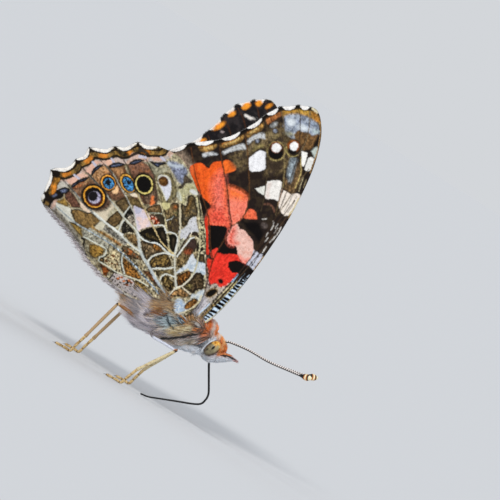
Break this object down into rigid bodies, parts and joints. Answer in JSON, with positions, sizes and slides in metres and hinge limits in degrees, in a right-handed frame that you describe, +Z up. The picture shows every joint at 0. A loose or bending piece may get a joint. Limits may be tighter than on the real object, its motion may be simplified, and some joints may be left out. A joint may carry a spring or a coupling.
{
  "type": "painted lady butterfly",
  "caption": "Life-size painted lady butterfly, feeding with closed wings, standing on its legs; a still model.",
  "frame": {"origin": "on the ground under the middle of the butterfly's box, midway between its hindmost wing tip and its feeler tips, and between its right feeler tip and its left forewing tip", "axes": "+X towards the head, +Y to the animal's left, +Z up"},
  "size_m": [0.0417, 0.0196, 0.0421],
  "materials": {
    "grey_fur": "soft matt hair over horn",
    "orange_fur": "soft matt hair over horn",
    "abdomen_scales": "matt scales and short hair",
    "compound_eye": "satin, finely faceted",
    "feeding_tube": "smooth dark horn",
    "feeler": "ringed scales",
    "leg_scales": "matt scales with small spines",
    "forewing_scales": "matt powdery scales",
    "hindwing_scales": "matt powdery scales"
  },
  "bodies": {
    "root": {"thorax": "grey_fur", "head": "orange_fur", "abdomen": "abdomen_scales", "eye_right": "compound_eye", "eye_left": "compound_eye", "palp_right": "orange_fur", "palp_left": "orange_fur", "proboscis_upper": "feeding_tube", "proboscis_lower": "feeding_tube", "antenna_right": "feeler", "antenna_left": "feeler", "foreleg_right": "grey_fur", "foreleg_left": "grey_fur", "forewing_right": "forewing_scales", "forewing_left": "forewing_scales", "hindwing_right": "hindwing_scales", "hindwing_left": "hindwing_scales", "midleg_right_femur": "leg_scales", "midleg_right_tibia": "leg_scales", "midleg_right_tarsus": "leg_scales", "midleg_left_femur": "leg_scales", "midleg_left_tibia": "leg_scales", "midleg_left_tarsus": "leg_scales", "hindleg_right_femur": "leg_scales", "hindleg_right_tibia": "leg_scales", "hindleg_right_tarsus": "leg_scales", "hindleg_left_femur": "leg_scales", "hindleg_left_tibia": "leg_scales", "hindleg_left_tarsus": "leg_scales"}
  },
  "joints": []
}
